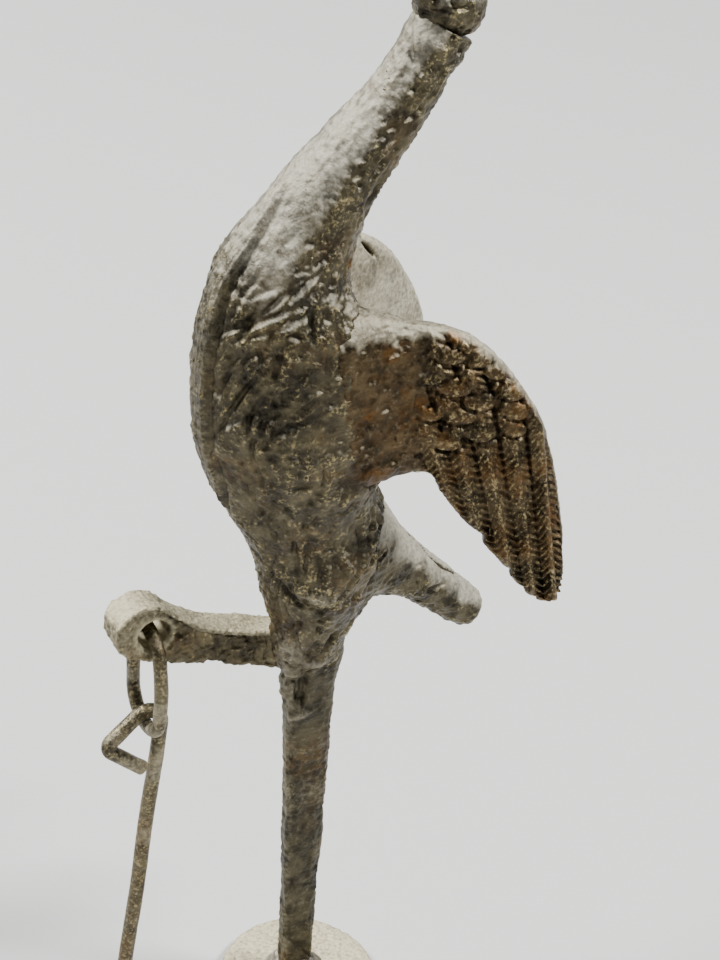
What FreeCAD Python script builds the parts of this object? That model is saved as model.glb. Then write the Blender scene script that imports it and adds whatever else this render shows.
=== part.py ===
"""Cast bronze wading bird on one leg, with a wire link and a pin hanging from its raised foot.

Frame, in millimetres: +Z is up, +X points to the bird's back and tail, +Y to its right wing.
The origin is the centre of the underside of the round foot, where the bird stands.
"""

import FreeCAD, Part

import math
import os

import Sketcher
from FreeCAD import Placement, Rotation, Vector

DOC = FreeCAD.newDocument("drinking_bird")
SIDEWAYS = Vector(0, 1, 0)

# ---------------------------------------------------------------- driving dimensions

SIZES = {
    # round foot
    "foot_radius": 8.9,
    "foot_top_radius": 8.5,
    "foot_rim_height": 0.6,
    "foot_edge_height": 1.7,
    "foot_height": 2.2,
    "rivet_recess": 0.2,
    # standing leg, a flat bar with a tenon at each end
    "leg_offset": -0.4,
    "leg_foot_width": 3.5,
    "leg_hip_width": 5.4,
    "leg_thickness": 2.2,
    "leg_corner": 0.5,
    "leg_top": 47.5,
    "foot_tenon_width": 2.9,
    "foot_tenon_thickness": 1.6,
    "hip_tenon_width": 4.0,
    "hip_tenon_thickness": 1.8,
    "hip_tenon_length": 6.0,
    "solder_radius": 3.4,
    "solder_top_radius": 2.4,
    "solder_height": 1.5,
    # raised leg, a flat arm with a pierced bulb for a foot
    "arm_width": 4.0,
    "arm_offset": 3.2,
    "arm_root_reach": 1.0,
    "arm_root_top": 48.7,
    "arm_root_bottom": 44.0,
    "bulb_reach": -18.4,
    "bulb_height": 55.0,
    "bulb_radius": 3.25,
    "eye_reach": -17.5,
    "eye_height": 54.6,
    "eye_radius": 1.7,
    "eye_bevel": 0.35,
    "arm_edge": 0.5,
    # hanging wire link
    "link_wire": 0.725,
    "link_half_width": 3.3,
    "link_rise": 0.15,
    "link_length": 12.75,
    # hanging pin
    "pin_wire": 0.8,
    "pin_eye_radius": 1.65,
    "pin_length": 38.7,
    "pin_taper": 5.0,
    "pin_point_radius": 0.45,
    "pin_lean": 6.6,
    # tail, a tapered round stub
    "tail_root_reach": 2.3,
    "tail_root_height": 63.2,
    "tail_slope": 134.0,
    "tail_root_radius": 3.8,
    "tail_end_radius": 1.75,
    "tail_length": 22.6,
    "tail_rounding": 1.0,
    # head with a tenon let into the neck
    "head_reach": 10.1,
    "head_height": 119.0,
    "head_radius": 3.1,
    "skull_length": 3.4,
    "beak_root": 2.9,
    "beak_root_radius": 1.8,
    "beak_length": 15.5,
    "beak_tip_radius": 0.4,
    "beak_tilt": -52.0,
    "neck_tilt": 33.0,
    "neck_tenon_radius": 1.9,
    "neck_tenon_length": 7.0,
    "eyeball_radius": 0.75,
    # wings
    "wing_offset": 6.0,
    "wing_sweep": 17.0,
    "right_wing_lift": 1.4,
    "right_wing_reach": 0.9,
}

# Sections of the body casting, from the end of the neck down to the leg socket: place
# of the centre, half depth fore and aft, half width, and lean of the section's axis.
CASTING_COLUMNS = ("reach", "height", "depth", "width", "lean")
CASTING = {
    "neck_end": (9.6, 117.0, 2.8, 2.8, 33.0),
    "upper_neck": (5.8, 111.1, 3.1, 3.0, 37.0),
    "lower_neck": (1.3, 105.9, 3.6, 3.6, 39.0),
    "throat": (-3.0, 99.8, 4.7, 4.6, 29.0),
    "shoulder": (-6.0, 92.7, 6.7, 6.4, 14.0),
    "breast": (-5.7, 81.5, 8.2, 7.4, -6.0),
    "belly": (-3.1, 70.4, 7.4, 6.8, -11.0),
    "loin": (-1.7, 62.7, 5.8, 5.2, -9.0),
    "hip": (-0.6, 54.8, 4.7, 4.0, -4.0),
    "knee": (-0.5, 49.5, 3.6, 3.0, -1.0),
    "socket": (-0.4, 47.5, 3.3, 2.7, 0.0),
}

# Upright sections of a wing from its root to its tip, in the wing's own plane:
# distance out, height of the centre, half chord and half thickness.
WING_COLUMNS = ("out", "height", "chord", "thickness")
WING = {
    "root": (-4.5, 82.4, 7.6, 1.2),
    "shoulder_end": (2.0, 82.4, 8.4, 1.5),
    "wrist": (7.0, 81.5, 8.6, 1.6),
    "elbow": (11.0, 78.2, 10.5, 1.5),
    "middle": (14.5, 74.2, 11.5, 1.4),
    "feathers": (17.5, 69.4, 10.4, 1.25),
    "outer_feathers": (20.0, 64.2, 8.0, 1.1),
    "point": (21.7, 60.8, 4.8, 0.9),
    "tip": (22.5, 58.7, 2.2, 0.6),
}


def make_sheet():
    """Fill the spreadsheet: single sizes first, then the two tables of sections."""
    sheet = DOC.addObject("Spreadsheet::Sheet", "dims")
    row = 0

    def write(alias, value):
        nonlocal row
        row += 1
        sheet.set(f"A{row}", alias)
        sheet.set(f"B{row}", str(value))
        sheet.setAlias(f"B{row}", alias)

    for alias, value in SIZES.items():
        write(alias, value)
    for prefix, columns, table in (
        ("casting", CASTING_COLUMNS, CASTING),
        ("wing", WING_COLUMNS, WING),
    ):
        for station, values in table.items():
            for column, value in zip(columns, values):
                write(f"{prefix}_{station}_{column}", value)
    DOC.recompute()
    return sheet


SHEET = make_sheet()


def size(alias):
    """Value of a cell, for places that only Python can set."""
    return float(getattr(SHEET, alias))


# ---------------------------------------------------------------- helpers


def new_body(name):
    body = DOC.addObject("PartDesign::Body", name)
    body.Label = name
    return body


def new_sketch(body, name, role="XY_Plane", offset=None):
    """Sketch on one of the body's own origin planes, moved by an optional placement."""
    sketch = body.newObject("Sketcher::SketchObject", name)
    plane = next(item for item in body.Origin.OriginFeatures if item.Role == role)
    sketch.AttachmentSupport = (plane, [""])
    sketch.MapMode = "FlatFace"
    if offset is not None:
        sketch.AttachmentOffset = offset
    return sketch


def bind(item, path, expression):
    item.setExpression(path, expression)


def raise_sketch(sketch, expression):
    """Lift a sketch off its plane by an expression."""
    bind(sketch, "AttachmentOffset.Base.z", expression)


def add_circle(sketch, across, up, radius):
    """Circle whose centre and radius are expressions."""
    index = sketch.addGeometry(Part.Circle(Vector(1, 1, 0), Vector(0, 0, 1), 1), False)
    rows = (
        ("DistanceX", -1, 1, index, 3, across),
        ("DistanceY", -1, 1, index, 3, up),
    )
    for kind, first, first_point, second, second_point, expression in rows:
        number = sketch.addConstraint(
            Sketcher.Constraint(kind, first, first_point, second, second_point, 1.0)
        )
        bind(sketch, f"Constraints[{number}]", expression)
    number = sketch.addConstraint(Sketcher.Constraint("Radius", index, 1.0))
    bind(sketch, f"Constraints[{number}]", radius)


def add_rectangle(sketch, centre, width, depth):
    """Rectangle from expressions: centre across, full width, full depth about the axis."""
    corners = ((-1, -1), (1, -1), (1, 1), (-1, 1))
    points = [
        (f"{centre} + ({x}) * {width} / 2", f"({y}) * {depth} / 2") for x, y in corners
    ]
    add_outline(sketch, points)


def add_outline(sketch, points):
    """Closed polygon whose corners are pairs of expressions."""
    values = [
        tuple(float(SHEET.evalExpression(part.replace("dims.", ""))) for part in pair)
        for pair in points
    ]
    count = len(points)
    for index in range(count):
        start = Vector(*values[index], 0)
        end = Vector(*values[(index + 1) % count], 0)
        sketch.addGeometry(Part.LineSegment(start, end), False)
    for index in range(count):
        sketch.addConstraint(
            Sketcher.Constraint("Coincident", index, 2, (index + 1) % count, 1)
        )
    for index, pair in enumerate(points):
        for kind, expression, value in zip(("DistanceX", "DistanceY"), pair, values[index]):
            number = sketch.addConstraint(
                Sketcher.Constraint(kind, -1, 1, index, 1, value)
            )
            bind(sketch, f"Constraints[{number}]", expression)


def add_feature(body, kind, name, **settings):
    feature = body.newObject(f"PartDesign::{kind}", name)
    for key, value in settings.items():
        setattr(feature, key, value)
    return feature


def place_body(body, across, sideways, up, turn):
    """Bind a body's placement: three coordinates and a turn about the sideways axis."""
    place = f"vector({across}; {sideways}; {up})"
    bind(body, "Placement", f"placement({place}; rotation(vector(0; 1; 0); {turn}))")


def make_section(name, place, chord, thickness, rotation):
    """One ellipse of a loft; every argument but the name is an expression."""
    ring = DOC.addObject("Part::Ellipse", name)
    bind(ring, "MajorRadius", chord)
    bind(ring, "MinorRadius", thickness)
    bind(ring, "Placement", f"placement({place}; {rotation})")
    return ring


def make_loft(name, sections):
    loft = DOC.addObject("Part::Loft", name)
    loft.Sections = sections
    loft.Solid = True
    loft.Label = name
    return loft


# ---------------------------------------------------------------- sub-parts


def make_foot_disc():
    """Round foot: a low turned disc with a rounded edge and a slot for the leg's tenon."""
    body = new_body("foot_disc")
    profile = new_sketch(body, "foot_profile", "XZ_Plane")
    add_outline(
        profile,
        [
            ("0", "0"),
            ("dims.foot_radius", "0"),
            ("dims.foot_radius", "dims.foot_rim_height"),
            ("dims.foot_top_radius", "dims.foot_edge_height"),
            ("dims.foot_top_radius * 0.6", "dims.foot_height"),
            ("0", "dims.foot_height"),
        ],
    )
    DOC.recompute()
    add_feature(
        body, "Revolution", "foot_turned", Profile=profile, ReferenceAxis=(profile, ["V_Axis"])
    )
    slot = new_sketch(body, "foot_slot")
    add_rectangle(
        slot, "dims.leg_offset", "dims.foot_tenon_width", "dims.foot_tenon_thickness"
    )
    DOC.recompute()
    pocket = add_feature(body, "Pocket", "foot_mortise", Profile=slot, Type=1)
    pocket.Reversed = True
    return body


def make_standing_leg():
    """Flat tapering bar; its tenons enter the foot and the hip."""
    body = new_body("standing_leg")
    side = new_sketch(body, "leg_side", "XZ_Plane")
    low, high = "dims.leg_foot_width / 2", "dims.leg_hip_width / 2"
    add_outline(
        side,
        [
            (f"dims.leg_offset - {low}", "dims.foot_height"),
            (f"dims.leg_offset + {low}", "dims.foot_height"),
            (f"dims.leg_offset + {high}", "dims.leg_top"),
            (f"dims.leg_offset - {high}", "dims.leg_top"),
        ],
    )
    DOC.recompute()
    bar = add_feature(body, "Pad", "leg_bar", Profile=side, Midplane=True)
    bind(bar, "Length", "dims.leg_thickness")
    DOC.recompute()
    upright = [
        f"Edge{number}"
        for number, edge in enumerate(bar.Shape.Edges, 1)
        if edge.BoundBox.ZLength > size("leg_top") / 2
    ]
    rounded = add_feature(body, "Fillet", "leg_rounded", Base=(bar, upright))
    bind(rounded, "Radius", "dims.leg_corner")
    tenons = (
        (
            "foot_tenon",
            "dims.rivet_recess",
            "dims.foot_height - dims.rivet_recess",
            "dims.foot_tenon_width",
            "dims.foot_tenon_thickness",
        ),
        (
            "hip_tenon",
            "dims.leg_top",
            "dims.hip_tenon_length",
            "dims.hip_tenon_width",
            "dims.hip_tenon_thickness",
        ),
    )
    for name, level, length, width, thickness in tenons:
        sketch = new_sketch(body, f"{name}_outline")
        raise_sketch(sketch, level)
        add_rectangle(sketch, "dims.leg_offset", width, thickness)
        DOC.recompute()
        pad = add_feature(body, "Pad", name, Profile=sketch)
        bind(pad, "Length", length)
    return body


def make_foot_solder(leg):
    """Collar of soft solder run round the leg where it stands on the foot."""
    cone = DOC.addObject("Part::Cone", "solder_cone")
    bind(cone, "Radius1", "dims.solder_radius")
    bind(cone, "Radius2", "dims.solder_top_radius")
    bind(cone, "Height", "dims.solder_height")
    place = "vector(dims.leg_offset; 0; dims.foot_height)"
    bind(cone, "Placement", f"placement({place}; rotation(vector(0; 0; 1); 0))")
    collar = DOC.addObject("Part::Cut", "foot_solder")
    collar.Base = cone
    collar.Tool = leg
    collar.Label = "foot_solder"
    return collar


def make_raised_leg():
    """Arm with a concave top edge, ending in a round bulb that is drilled sideways."""
    body = new_body("raised_leg")
    sketch = new_sketch(body, "arm_profile", "XZ_Plane")
    bulb = Vector(size("bulb_reach"), size("bulb_height"), 0)
    radius = size("bulb_radius")
    root = size("arm_root_reach")
    high = Vector(root, size("arm_root_top"), 0)
    low = Vector(root, size("arm_root_bottom"), 0)
    shoulder_angle, heel_angle = 42.0, -108.0

    def on_bulb(angle):
        return bulb + Rotation(Vector(0, 0, 1), angle) * Vector(radius, 0, 0)

    shoulder, toe, heel = on_bulb(shoulder_angle), on_bulb(180), on_bulb(heel_angle)
    hollow = shoulder + Vector(3.2, -3.0, 0)
    flat = hollow + Vector(4.2, -2.0, 0)
    sketch.addGeometry(Part.Arc(shoulder, toe, heel), False)
    sketch.addGeometry(Part.LineSegment(heel, low), False)
    sketch.addGeometry(Part.LineSegment(low, high), False)
    sketch.addGeometry(Part.LineSegment(high, flat), False)
    sketch.addGeometry(Part.Arc(flat, hollow, shoulder), False)
    DOC.recompute()
    pad = add_feature(body, "Pad", "arm_plate", Profile=sketch, Midplane=True)
    bind(pad, "Length", "dims.arm_width")
    DOC.recompute()
    outline = [
        f"Edge{number}"
        for number, edge in enumerate(pad.Shape.Edges, 1)
        if edge.BoundBox.YLength < 1e-3
    ]
    rounded = add_feature(body, "Fillet", "arm_rounded", Base=(pad, outline))
    bind(rounded, "Radius", "dims.arm_edge")
    DOC.recompute()
    drill = new_sketch(body, "arm_eye", "XZ_Plane")
    add_circle(drill, "dims.eye_reach", "dims.eye_height", "dims.eye_radius")
    DOC.recompute()
    hole = add_feature(body, "Pocket", "arm_hole", Profile=drill, Type=1, Midplane=True)
    DOC.recompute()
    rims = [
        f"Edge{number}"
        for number, edge in enumerate(hole.Shape.Edges, 1)
        if abs(getattr(edge.Curve, "Radius", 0) - size("eye_radius")) < 1e-6
        and edge.BoundBox.YLength < 1e-3
    ]
    bevel = add_feature(body, "Chamfer", "arm_eye_wear", Base=(hole, rims))
    bind(bevel, "Size", "dims.eye_bevel")
    place_body(body, "0", "dims.arm_offset", "0", "0")
    return body


def make_hanging_link():
    """Closed oval of wire: two straight sides and two half rings, in an upright plane."""
    body = new_body("hanging_link")
    half, rise = size("link_half_width"), size("link_rise")
    top, bottom = -rise - half, -rise - size("link_length") + half
    path = new_sketch(body, "link_path", "YZ_Plane")
    corners = [Vector(-half, bottom, 0), Vector(-half, top, 0)]
    corners += [Vector(half, top, 0), Vector(half, bottom, 0)]
    path.addGeometry(Part.LineSegment(corners[0], corners[1]), False)
    path.addGeometry(Part.Arc(corners[1], Vector(0, top + half, 0), corners[2]), False)
    path.addGeometry(Part.LineSegment(corners[2], corners[3]), False)
    path.addGeometry(Part.Arc(corners[3], Vector(0, bottom - half, 0), corners[0]), False)
    wire = new_sketch(body, "link_wire")
    raise_sketch(wire, "dims.link_half_width - dims.link_rise - dims.link_length")
    add_circle(wire, "0", "-dims.link_half_width", "dims.link_wire")
    DOC.recompute()
    add_feature(body, "AdditivePipe", "link_ring", Profile=wire, Spine=path)
    place_body(body, "dims.eye_reach", "dims.arm_offset", "dims.eye_height", "0")
    return body


def make_hanging_pin():
    """Wire pin: a straight shank whose top is bent round into a pointed eye."""
    body = new_body("hanging_pin")
    bend = size("pin_eye_radius")
    shank_end = -size("pin_length") + size("pin_taper")
    path = new_sketch(body, "pin_path", "XZ_Plane")
    turn = 135.0
    corner_radius = 0.95
    last_heading = 323.0
    slant_length = 3.6
    return_length = 4.7

    def polar(distance, angle):
        return Rotation(Vector(0, 0, 1), angle) * Vector(distance, 0, 0)

    crown = polar(bend, turn)
    corner_start = crown + polar(slant_length, turn + 90)
    corner_centre = corner_start + polar(corner_radius, turn + 180)
    corner_middle = corner_centre + polar(corner_radius, (turn + last_heading - 90) / 2)
    corner_end = corner_centre + polar(corner_radius, last_heading - 90)
    finish = corner_end + polar(return_length, last_heading)
    side = Vector(bend, 0, 0)
    path.addGeometry(Part.LineSegment(Vector(bend, shank_end, 0), side), False)
    path.addGeometry(Part.Arc(side, polar(bend, turn / 2), crown), False)
    path.addGeometry(Part.LineSegment(crown, corner_start), False)
    path.addGeometry(Part.Arc(corner_start, corner_middle, corner_end), False)
    path.addGeometry(Part.LineSegment(corner_end, finish), False)
    wire = new_sketch(body, "pin_wire")
    raise_sketch(wire, "dims.pin_taper - dims.pin_length")
    add_circle(wire, "dims.pin_eye_radius", "0", "dims.pin_wire")
    DOC.recompute()
    add_feature(body, "AdditivePipe", "pin_bent", Profile=wire, Spine=path)
    point = new_sketch(body, "pin_point")
    raise_sketch(point, "-dims.pin_length")
    add_circle(point, "dims.pin_eye_radius", "0", "dims.pin_point_radius")
    DOC.recompute()
    add_feature(body, "AdditiveLoft", "pin_tip", Profile=wire, Sections=[point])
    bottom = "dims.eye_height - dims.link_rise - dims.link_length"
    place_body(body, "dims.eye_reach", "dims.arm_offset", bottom, "dims.pin_lean")
    return body


def make_tail():
    """Tapering round stub with a rounded end, turned about its own axis."""
    body = new_body("tail")
    profile = new_sketch(body, "tail_profile", "XZ_Plane")
    add_outline(
        profile,
        [
            ("0", "0"),
            ("dims.tail_root_radius", "0"),
            ("dims.tail_end_radius", "dims.tail_length"),
            ("0", "dims.tail_length"),
        ],
    )
    DOC.recompute()
    turned = add_feature(
        body, "Revolution", "tail_turned", Profile=profile, ReferenceAxis=(profile, ["V_Axis"])
    )
    DOC.recompute()
    rim = [
        f"Edge{number}"
        for number, edge in enumerate(turned.Shape.Edges, 1)
        if edge.BoundBox.ZMin > size("tail_length") - 0.01 and edge.BoundBox.XLength > 1
    ]
    rounded = add_feature(body, "Fillet", "tail_rounded", Base=(turned, rim))
    bind(rounded, "Radius", "dims.tail_rounding")
    place_body(
        body, "dims.tail_root_reach", "0", "dims.tail_root_height", "dims.tail_slope"
    )
    return body


def make_head():
    """Round head with a slim beak, small raised eyes and a tenon for the neck."""
    body = new_body("head")
    radius, skull = size("head_radius"), size("skull_length")
    profile = new_sketch(body, "head_profile", "XZ_Plane")
    skull_centre = Vector(0, radius - skull, 0)
    side = skull_centre + Vector(radius, 0, 0)
    cheek = Vector(size("beak_root_radius"), size("beak_root"), 0)
    ease = Vector(0.5, 0.5, 0)
    tip_length, tip_radius = size("beak_length"), size("beak_tip_radius")
    tip = Vector(tip_radius, tip_length - tip_radius, 0)
    blunt = Vector(tip_radius * 0.5, tip_length, 0)
    end = Vector(0, tip_length, 0)
    back = Vector(0, -skull, 0)
    crown = Part.Circle(skull_centre, Vector(0, 0, 1), radius)
    profile.addGeometry(Part.ArcOfCircle(crown, -math.pi / 2, 0), False)
    profile.addGeometry(Part.Arc(side, (side + cheek) * 0.5 + ease, cheek), False)
    for start, stop in ((cheek, tip), (tip, blunt), (blunt, end), (end, back)):
        profile.addGeometry(Part.LineSegment(start, stop), False)
    DOC.recompute()
    add_feature(
        body, "Revolution", "head_turned", Profile=profile, ReferenceAxis=(profile, ["V_Axis"])
    )
    lean = Rotation(SIDEWAYS, size("neck_tilt") - size("beak_tilt"))
    stub = new_sketch(body, "head_stub", offset=Placement(Vector(0, 0, 0), lean))
    add_circle(stub, "0", "0", "dims.neck_tenon_radius")
    DOC.recompute()
    tenon = add_feature(body, "Pad", "neck_tenon", Profile=stub, Reversed=True)
    bind(tenon, "Length", "dims.neck_tenon_length")
    DOC.recompute()
    for name, hand in (("left_eye", -1), ("right_eye", 1)):
        ball = add_feature(body, "AdditiveSphere", name)
        bind(ball, "Radius", "dims.eyeball_radius")
        spot = Vector(-1.2, hand * (radius - 0.75), 1.2)
        ball.AttachmentOffset = Placement(spot, Rotation())
    place_body(body, "dims.head_reach", "0", "dims.head_height", "dims.beak_tilt")
    return body


def make_wing(name, hand, lift, reach):
    """Leaf-shaped blade: a loft through upright ellipses from root to tip.

    The lift raises the whole blade; the reach shortens it, as a part of its full length.
    """
    sections = []
    sweep = f"({hand} * dims.wing_sweep)"
    for station in WING:
        cell = f"dims.wing_{station}_"
        out = f"{reach} * {cell}out"
        along = f"{out} * cos({sweep} * 1 deg)"
        aside = f"{hand} * dims.wing_offset + {out} * sin({sweep} * 1 deg)"
        place = f"vector({along}; {aside}; {cell}height + {lift})"
        yaw = f"rotation(vector(0; 0; 1); {sweep})"
        rotation = f"{yaw} * rotation(vector(0; 1; 0); -90)"
        chord, thickness = f"{cell}chord", f"{cell}thickness"
        sections.append(make_section(f"{name}_{station}", place, chord, thickness, rotation))
    return make_loft(name, sections)


def make_body_casting(inlets):
    """Body and neck in one casting, cut out where the soldered pieces are let in."""
    sections = []
    for station in CASTING:
        cell = f"dims.casting_{station}_"
        place = f"vector({cell}reach; 0; {cell}height)"
        rotation = f"rotation(vector(0; 1; 0); {cell}lean)"
        depth, width = f"{cell}depth", f"{cell}width"
        name = f"casting_{station}"
        sections.append(make_section(name, place, depth, width, rotation))
    solid = make_loft("casting_solid", sections)
    tool = DOC.addObject("Part::Compound", "let_in_pieces")
    tool.Links = inlets
    casting = DOC.addObject("Part::Cut", "body_casting")
    casting.Base = solid
    casting.Tool = tool
    casting.Label = "body_casting"
    return casting


def check_document():
    """Stop on any failed feature."""
    for item in DOC.Objects:
        if "Invalid" in item.State or "Error" in item.State:
            raise RuntimeError(f"{item.Label}: {item.State}")


def main():
    leg = make_standing_leg()
    foot = make_foot_disc()
    arm = make_raised_leg()
    tail = make_tail()
    head = make_head()
    left_wing = make_wing("left_wing", -1, "0", "1")
    lift, reach = "dims.right_wing_lift", "dims.right_wing_reach"
    right_wing = make_wing("right_wing", 1, lift, reach)
    DOC.recompute()
    nodes = [
        make_body_casting([left_wing, right_wing, tail, leg, arm, head]),
        head,
        left_wing,
        right_wing,
        tail,
        leg,
        foot,
        make_foot_solder(leg),
        arm,
        make_hanging_link(),
        make_hanging_pin(),
    ]
    DOC.recompute()
    check_document()
    os.makedirs("parts", exist_ok=True)
    for node in nodes:
        shape = node.Shape
        if shape.isNull() or not shape.isValid():
            raise RuntimeError(f"{node.Label}: no valid solid")
        box = shape.BoundBox
        print(
            f"{node.Label}: {len(shape.Solids)} solid, {shape.Volume:.1f} mm3, "
            f"x {box.XMin:.1f} {box.XMax:.1f}, y {box.YMin:.1f} {box.YMax:.1f}, "
            f"z {box.ZMin:.1f} {box.ZMax:.1f}"
        )
        shape.exportStep(f"parts/{node.Label}.step")


main()
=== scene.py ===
"""A small cast bronze wading bird on one leg, with a wire link and a pin on its raised foot.

Lengths are in millimetres until a mesh is made. +Z is up, +X points to the bird's tail and
+Y to its right wing; the origin is the centre of the underside of the round foot.
"""

import math

import bmesh
import bpy
import numpy as np
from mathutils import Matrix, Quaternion, Vector
from mathutils.bvhtree import BVHTree


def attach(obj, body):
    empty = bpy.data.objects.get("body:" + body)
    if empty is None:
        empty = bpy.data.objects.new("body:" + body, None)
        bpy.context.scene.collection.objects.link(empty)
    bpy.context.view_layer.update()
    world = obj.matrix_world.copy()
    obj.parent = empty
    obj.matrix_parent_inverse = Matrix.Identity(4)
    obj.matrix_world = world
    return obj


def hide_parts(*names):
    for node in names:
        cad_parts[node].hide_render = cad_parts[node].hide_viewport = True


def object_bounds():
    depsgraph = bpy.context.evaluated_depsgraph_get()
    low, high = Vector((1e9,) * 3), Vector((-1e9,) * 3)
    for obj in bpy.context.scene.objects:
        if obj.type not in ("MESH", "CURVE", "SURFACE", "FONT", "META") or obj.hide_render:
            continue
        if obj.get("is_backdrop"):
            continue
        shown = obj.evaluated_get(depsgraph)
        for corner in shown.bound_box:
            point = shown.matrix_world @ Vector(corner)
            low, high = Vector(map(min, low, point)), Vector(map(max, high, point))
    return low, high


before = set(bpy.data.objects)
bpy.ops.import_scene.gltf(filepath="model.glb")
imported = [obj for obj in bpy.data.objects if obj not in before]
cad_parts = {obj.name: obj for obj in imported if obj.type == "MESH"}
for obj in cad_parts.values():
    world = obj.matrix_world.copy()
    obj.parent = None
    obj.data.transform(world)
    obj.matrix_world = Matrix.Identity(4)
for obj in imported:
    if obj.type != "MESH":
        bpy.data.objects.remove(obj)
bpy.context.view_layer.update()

# ---------------------------------------------------------------- body and neck
# The body and the long neck are one lost-wax casting in leaded bronze, solid, with feather
# marks cut into the wax before it was cast. The other pieces are let in and soldered, and
# the metal flows into them. A raised band runs down the breast to a pointed end.

MM = 0.001
# The body, the wings and the tail share these, so roughness and form run on across the joins.
SKIN_SEED, FORM_SEED, FORM_SIZE, FORM_HEIGHT = 31, 21, 7.0, 0.35
FILLET_REACH, HIP_FILLET_REACH = 7.0, 2.6
# The band down the breast, and the lip of the leg socket.
BAND_HALF, BAND_HEIGHT, BAND_LINE_PITCH = 1.45, 0.55, 0.55
LIP_HEIGHT = 0.36

# Sections from the end of the neck to the leg socket: place of the centre (x, z), half depth
# fore and aft, half width, and lean in degrees.
BODY_SECTIONS = [
    (9.6, 117.0, 2.85, 2.85, 33.0),
    (5.8, 111.1, 3.1, 3.0, 37.0),
    (1.3, 105.9, 3.6, 3.6, 39.0),
    (-3.0, 99.8, 4.7, 4.6, 29.0),
    (-6.0, 92.7, 6.7, 6.4, 14.0),
    (-5.7, 81.5, 8.2, 7.4, -6.0),
    (-3.1, 70.4, 7.4, 6.8, -11.0),
    (-1.7, 62.7, 5.8, 5.2, -9.0),
    (-0.6, 54.8, 4.7, 4.0, -4.0),
    (-0.5, 49.8, 3.35, 2.5, -1.0),
    (-0.4, 47.3, 3.05, 1.75, 0.0),
]


def smooth_rows(rows, count):
    """Rows evenly spaced along a smooth curve through the given ones; columns 0 and 1 are its place."""
    rows = np.asarray(rows, float)
    padded = np.vstack([2 * rows[0] - rows[1], rows, 2 * rows[-1] - rows[-2]])
    step = np.linspace(0, 1, 60, endpoint=False)[:, None]
    fine = []
    for before, here, there, after in zip(padded, padded[1:], padded[2:], padded[3:]):
        bend = (2 * before - 5 * here + 4 * there - after) * step**2
        twist = (3 * here - before - 3 * there + after) * step**3
        fine.append(0.5 * (2 * here + (there - before) * step + bend + twist))
    fine = np.vstack([*fine, rows[-1:]])
    strides = np.linalg.norm(np.diff(fine[:, :2], axis=0), axis=1)
    gone = np.concatenate([[0], np.cumsum(strides)])
    at = np.linspace(0, gone[-1], count)
    return np.stack([np.interp(at, gone, column) for column in fine.T], axis=1)


def full_turn(count):
    """Angles evenly spaced round a full turn."""
    return np.linspace(0, 2 * math.pi, count, endpoint=False)


def ramp(low, high, value):
    """0 below low, 1 above high, and an eased rise between them."""
    part = np.clip((value - low) / (high - low), 0, 1)
    return part * part * (3 - 2 * part)


def hump(value, centre, width):
    """A rounded ridge of height 1 at the centre, which is down to a third at the width."""
    return np.exp(-(((value - centre) / width) ** 2))


def cloud(points, size, seed):
    """Smooth random values from -1 to 1 at the points, in lumps of the given size."""
    lattice = np.random.default_rng(seed).uniform(-1, 1, (32, 32, 32))
    place = points / size + 500
    cell = np.floor(place).astype(int)
    part = place - cell
    part = part * part * (3 - 2 * part)
    total = 0
    for corner in np.ndindex(2, 2, 2):
        weight = np.prod(np.where(corner, part, 1 - part), axis=-1)
        x, y, z = np.moveaxis((cell + corner) % 32, -1, 0)
        total = total + weight * lattice[x, y, z]
    return total


def cast_skin(points, seed):
    """Height of a rough casting surface in mm: soft lumps, sharp flakes, grit and pits."""
    lumps = 0.12 * cloud(points, 2.6, seed)
    flakes = 0.26 * (0.35 - np.abs(cloud(points, 1.15, seed + 1)))
    chips = 0.20 * (0.35 - np.abs(cloud(points, 0.62, seed + 2)))
    grit = 0.07 * cloud(points, 0.36, seed + 3)
    pits = -0.30 * ramp(0.55, 0.85, cloud(points, 0.9, seed + 4))
    return lumps + flakes + chips + grit + pits


def outward(grid):
    """Unit normals of a grid of rings, pointing away from the middle of each ring."""
    along = np.gradient(grid, axis=0)
    around = np.roll(grid, -1, axis=1) - np.roll(grid, 1, axis=1)
    normal = np.cross(around, along)
    normal = normal / (np.linalg.norm(normal, axis=-1, keepdims=True) + 1e-9)
    middle = grid.mean(axis=1, keepdims=True)
    return normal * np.sign(np.sum(normal * (grid - middle)))


def node_tree(name):
    """Search tree over a CAD node, in mm."""
    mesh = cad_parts[name].data
    corners = [vertex.co / MM for vertex in mesh.vertices]
    return BVHTree.FromPolygons(corners, [face.vertices[:] for face in mesh.polygons])


def grid_tree(grid, normal):
    """Search tree over rings of points in mm, with its faces turned outwards."""
    index = np.arange(grid[..., 0].size).reshape(grid.shape[:2])
    turned = np.roll(index, -1, axis=1)
    faces = np.stack([index[:-1], turned[:-1], turned[1:], index[1:]], axis=-1).reshape(-1, 4)
    corners = grid.reshape(-1, 3)
    first = corners[faces[0]]
    facing = np.cross(first[1] - first[0], first[3] - first[0])
    if facing @ normal.reshape(-1, 3)[0] < 0:
        faces = faces[:, ::-1]
    return BVHTree.FromPolygons(corners.tolist(), faces.tolist())


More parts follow.
